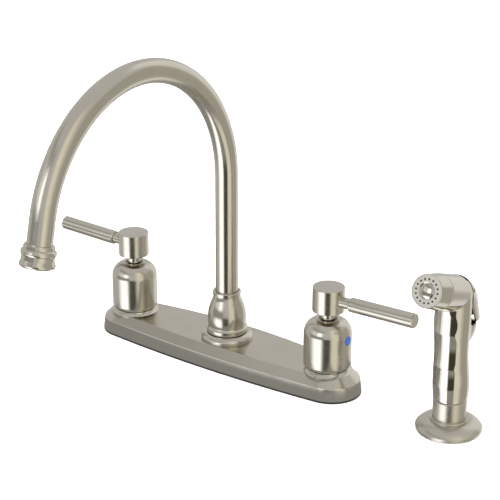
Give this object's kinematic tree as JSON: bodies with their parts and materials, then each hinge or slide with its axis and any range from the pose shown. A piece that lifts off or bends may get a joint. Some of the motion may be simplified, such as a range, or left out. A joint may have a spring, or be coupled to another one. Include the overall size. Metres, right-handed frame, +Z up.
{
  "type": "side spray kitchen faucet",
  "caption": "Two-handle centreset kitchen faucet: long deck plate, lever handles on bells, high swivelling gooseneck spout, and a separate thumb-lever side spray in its deck guide.",
  "frame": {"origin": "on the deck surface, where the spout's axis meets it", "axes": "+X along the deck plate from the hot to the cold handle, -Y towards the user, +Z up; what is below z = 0 goes through the deck"},
  "size_m": [0.4225, 0.271, 0.3379],
  "materials": {
    "satin_nickel": "brushed nickel, warm satin",
    "polished_nickel": "polished nickel",
    "plated_plastic": "nickel-plated plastic, polished",
    "brass": "raw turned brass",
    "copper": "drawn copper tube",
    "steel": "stainless steel",
    "rubber": "black rubber",
    "ceramic": "polished white ceramic",
    "white_plastic": "moulded white plastic",
    "black_plastic": "moulded dark plastic",
    "blue_plastic": "blue cold-water mark",
    "red_plastic": "red hot-water mark"
  },
  "bodies": {
    "root": {"deck_plate": "satin_nickel", "deck_gasket": "rubber", "hot_valve_body": "brass", "cold_valve_body": "brass", "seat_seals": "rubber", "fixed_discs": "ceramic", "cartridge_shells": "brass", "hot_escutcheon_ring": "polished_nickel", "cold_escutcheon_ring": "polished_nickel", "deck_washers": "steel", "lock_nuts": "brass", "spout_body": "brass", "waterway_tubes": "copper", "diverter_seat": "brass", "spray_outlet_nipple": "brass", "spout_flange": "satin_nickel", "hub_seal": "rubber", "spout_hub": "satin_nickel", "thrust_washer": "white_plastic", "swivel_bushing": "white_plastic", "spray_gasket": "rubber", "spray_flange": "satin_nickel", "spray_guide": "satin_nickel", "spray_lock_nut": "white_plastic"},
    "hot_handle": {"hot_moving_disc": "ceramic", "hot_valve_stem": "brass", "hot_stem_o_ring": "rubber", "hot_handle_bell": "satin_nickel", "hot_index_button": "red_plastic", "hot_set_screw": "steel", "hot_handle_post": "satin_nickel", "hot_handle_head": "satin_nickel", "hot_lever_grip": "satin_nickel"},
    "cold_handle": {"cold_moving_disc": "ceramic", "cold_valve_stem": "brass", "cold_stem_o_ring": "rubber", "cold_handle_bell": "satin_nickel", "cold_index_button": "blue_plastic", "cold_set_screw": "steel", "cold_handle_post": "satin_nickel", "cold_handle_head": "satin_nickel", "cold_lever_grip": "satin_nickel"},
    "spout": {"spout_tube": "satin_nickel", "spout_spigot": "brass", "spout_o_rings": "rubber", "nozzle_collar": "polished_nickel", "aerator_housing": "polished_nickel", "aerator_washer": "rubber", "aerator_insert": "black_plastic"},
    "diverter": {"diverter_piston": "white_plastic"},
    "handset": {"handset_body": "plated_plastic", "nozzle_seal": "rubber", "nozzle_ring": "plated_plastic", "spray_face": "plated_plastic", "thumb_pin": "steel", "hose_coupling": "brass", "push_rod_spring": "steel"},
    "thumb": {"thumb_lever": "plated_plastic"},
    "push_rod": {"spray_push_rod": "steel", "push_rod_seal": "rubber"}
  },
  "joints": [
    {"name": "spout_swivel", "type": "hinge", "parent": "root", "child": "spout", "pos_m": [0, 0, 0.05], "axis": [0, 0, 1], "continuous": true},
    {"name": "hot_turn", "type": "hinge", "parent": "root", "child": "hot_handle", "pos_m": [-0.1016, 0, 0.04], "axis": [0, 0, 1], "range_deg": [0, 90]},
    {"name": "cold_turn", "type": "hinge", "parent": "root", "child": "cold_handle", "pos_m": [0.1016, 0, 0.04], "axis": [0, 0, 1], "range_deg": [-90, 0]},
    {"name": "diverter_lift", "type": "slide", "parent": "root", "child": "diverter", "axis": [0, 0, 1], "range_m": [0, 0.003]},
    {"name": "handset_lift", "type": "slide", "parent": "root", "child": "handset", "axis": [0, 0, 1], "range_m": [0, 0.1]},
    {"name": "thumb_press", "type": "hinge", "parent": "handset", "child": "thumb", "pos_m": [0.215, 0.0055, 0.1175], "axis": [-1, 0, 0], "range_deg": [0, 7], "stiffness_Nm_per_rad": 1, "springref_deg": -5.73},
    {"name": "push_rod_slide", "type": "slide", "parent": "handset", "child": "push_rod", "axis": [0, -1, 0], "range_m": [0, 0.002], "deforming": ["push_rod_spring"]}
  ],
  "couplings": [
    {"joint": "push_rod_slide", "follows": "thumb_press", "m_per_rad": 0.016}
  ]
}
